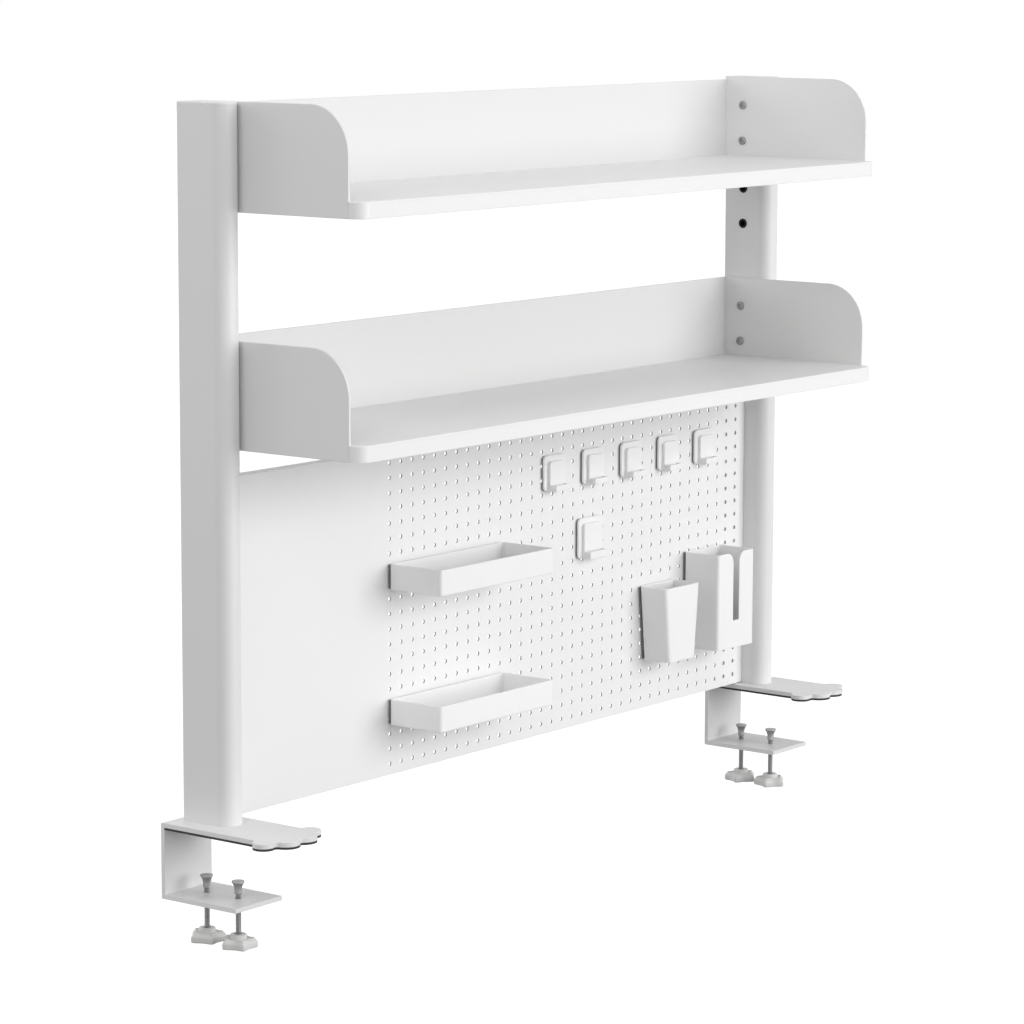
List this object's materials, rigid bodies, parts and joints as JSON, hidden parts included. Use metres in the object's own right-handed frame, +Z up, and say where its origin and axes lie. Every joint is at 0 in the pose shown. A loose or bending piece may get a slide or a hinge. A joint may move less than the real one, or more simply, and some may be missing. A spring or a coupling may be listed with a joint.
{
  "type": "pegboard desk organizer",
  "caption": "Desk hutch that clamps to a desk's rear edge: posts carry shelves and a pegboard with pull-off trays, a pen cup, a slotted holder and hooks.",
  "frame": {"origin": "on the desk top, midway between the posts, in the plane of the posts' backs", "axes": "+X to the right seen from the front, -Y to the front, +Z up"},
  "size_m": [1.138, 0.239, 0.918],
  "materials": {
    "white_coat": "satin powder coat",
    "white_plastic": "fine matte",
    "dark_plastic": "matte",
    "knob_plastic": "satin",
    "pad_rubber": "matte",
    "zinc_steel": "zinc plated"
  },
  "bodies": {
    "base": {"left_base_screws": "zinc_steel", "left_clamp": "white_coat", "left_pad": "pad_rubber", "left_post": "white_coat", "left_post_cap": "white_plastic", "lower_back_panel": "white_coat", "lower_bolts": "zinc_steel", "lower_deck": "white_coat", "lower_left_end": "white_coat", "lower_nuts": "zinc_steel", "lower_right_end": "white_coat", "pegboard": "white_coat", "pegboard_screws": "zinc_steel", "right_base_screws": "zinc_steel", "right_clamp": "white_coat", "right_pad": "pad_rubber", "right_post": "white_coat", "right_post_cap": "white_plastic", "upper_back_panel": "white_coat", "upper_bolts": "zinc_steel", "upper_deck": "white_coat", "upper_left_end": "white_coat", "upper_nuts": "zinc_steel", "upper_right_end": "white_coat"},
    "left_rear_foot": {"left_rear_foot": "zinc_steel"},
    "left_rear_screw": {"left_rear_screw": "zinc_steel", "left_rear_knob": "knob_plastic"},
    "left_front_foot": {"left_front_foot": "zinc_steel"},
    "left_front_screw": {"left_front_screw": "zinc_steel", "left_front_knob": "knob_plastic"},
    "right_rear_foot": {"right_rear_foot": "zinc_steel"},
    "right_rear_screw": {"right_rear_screw": "zinc_steel", "right_rear_knob": "knob_plastic"},
    "right_front_foot": {"right_front_foot": "zinc_steel"},
    "right_front_screw": {"right_front_screw": "zinc_steel", "right_front_knob": "knob_plastic"},
    "upper_tray": {"upper_tray": "white_plastic", "upper_tray_peg_plate": "dark_plastic"},
    "lower_tray": {"lower_tray": "white_plastic", "lower_tray_peg_plate": "dark_plastic"},
    "pen_cup": {"pen_cup": "white_plastic", "pen_cup_peg_plate": "dark_plastic"},
    "slotted_holder": {"slotted_holder": "white_plastic", "slotted_holder_peg_plate": "dark_plastic"},
    "hook_1": {"hook_1": "white_plastic", "hook_1_peg_plate": "dark_plastic"},
    "hook_2": {"hook_2": "white_plastic", "hook_2_peg_plate": "dark_plastic"},
    "hook_3": {"hook_3": "white_plastic", "hook_3_peg_plate": "dark_plastic"},
    "hook_4": {"hook_4": "white_plastic", "hook_4_peg_plate": "dark_plastic"},
    "hook_5": {"hook_5": "white_plastic", "hook_5_peg_plate": "dark_plastic"},
    "low_hook": {"low_hook": "white_plastic", "low_hook_peg_plate": "dark_plastic"}
  },
  "joints": [
    {"name": "left_rear_foot_lift", "type": "slide", "parent": "base", "child": "left_rear_foot", "axis": [0, 0, 1], "range_m": [-0.005, 0.034]},
    {"name": "left_rear_screw_turn", "type": "hinge", "parent": "left_rear_foot", "child": "left_rear_screw", "pos_m": [-0.519, -0.021, -0.0593], "axis": [0, 0, 1], "range_deg": [-1190, 8150]},
    {"name": "left_front_foot_lift", "type": "slide", "parent": "base", "child": "left_front_foot", "axis": [0, 0, 1], "range_m": [-0.005, 0.034]},
    {"name": "left_front_screw_turn", "type": "hinge", "parent": "left_front_foot", "child": "left_front_screw", "pos_m": [-0.519, -0.067, -0.0593], "axis": [0, 0, 1], "range_deg": [-1190, 8150]},
    {"name": "right_rear_foot_lift", "type": "slide", "parent": "base", "child": "right_rear_foot", "axis": [0, 0, 1], "range_m": [-0.005, 0.034]},
    {"name": "right_rear_screw_turn", "type": "hinge", "parent": "right_rear_foot", "child": "right_rear_screw", "pos_m": [0.519, -0.021, -0.0593], "axis": [0, 0, 1], "range_deg": [-1190, 8150]},
    {"name": "right_front_foot_lift", "type": "slide", "parent": "base", "child": "right_front_foot", "axis": [0, 0, 1], "range_m": [-0.005, 0.034]},
    {"name": "right_front_screw_turn", "type": "hinge", "parent": "right_front_foot", "child": "right_front_screw", "pos_m": [0.519, -0.067, -0.0593], "axis": [0, 0, 1], "range_deg": [-1190, 8150]},
    {"name": "upper_tray_pull", "type": "slide", "parent": "base", "child": "upper_tray", "axis": [0, -1, 0], "range_m": [0, 0.03]},
    {"name": "lower_tray_pull", "type": "slide", "parent": "base", "child": "lower_tray", "axis": [0, -1, 0], "range_m": [0, 0.03]},
    {"name": "pen_cup_pull", "type": "slide", "parent": "base", "child": "pen_cup", "axis": [0, -1, 0], "range_m": [0, 0.03]},
    {"name": "slotted_holder_pull", "type": "slide", "parent": "base", "child": "slotted_holder", "axis": [0, -1, 0], "range_m": [0, 0.03]},
    {"name": "hook_1_pull", "type": "slide", "parent": "base", "child": "hook_1", "axis": [0, -1, 0], "range_m": [0, 0.03]},
    {"name": "hook_2_pull", "type": "slide", "parent": "base", "child": "hook_2", "axis": [0, -1, 0], "range_m": [0, 0.03]},
    {"name": "hook_3_pull", "type": "slide", "parent": "base", "child": "hook_3", "axis": [0, -1, 0], "range_m": [0, 0.03]},
    {"name": "hook_4_pull", "type": "slide", "parent": "base", "child": "hook_4", "axis": [0, -1, 0], "range_m": [0, 0.03]},
    {"name": "hook_5_pull", "type": "slide", "parent": "base", "child": "hook_5", "axis": [0, -1, 0], "range_m": [0, 0.03]},
    {"name": "low_hook_pull", "type": "slide", "parent": "base", "child": "low_hook", "axis": [0, -1, 0], "range_m": [0, 0.03]}
  ],
  "couplings": [
    {"joint": "left_rear_foot_lift", "follows": "left_rear_screw_turn", "m_per_rad": 0.00023873},
    {"joint": "left_front_foot_lift", "follows": "left_front_screw_turn", "m_per_rad": 0.00023873},
    {"joint": "right_rear_foot_lift", "follows": "right_rear_screw_turn", "m_per_rad": 0.00023873},
    {"joint": "right_front_foot_lift", "follows": "right_front_screw_turn", "m_per_rad": 0.00023873}
  ]
}
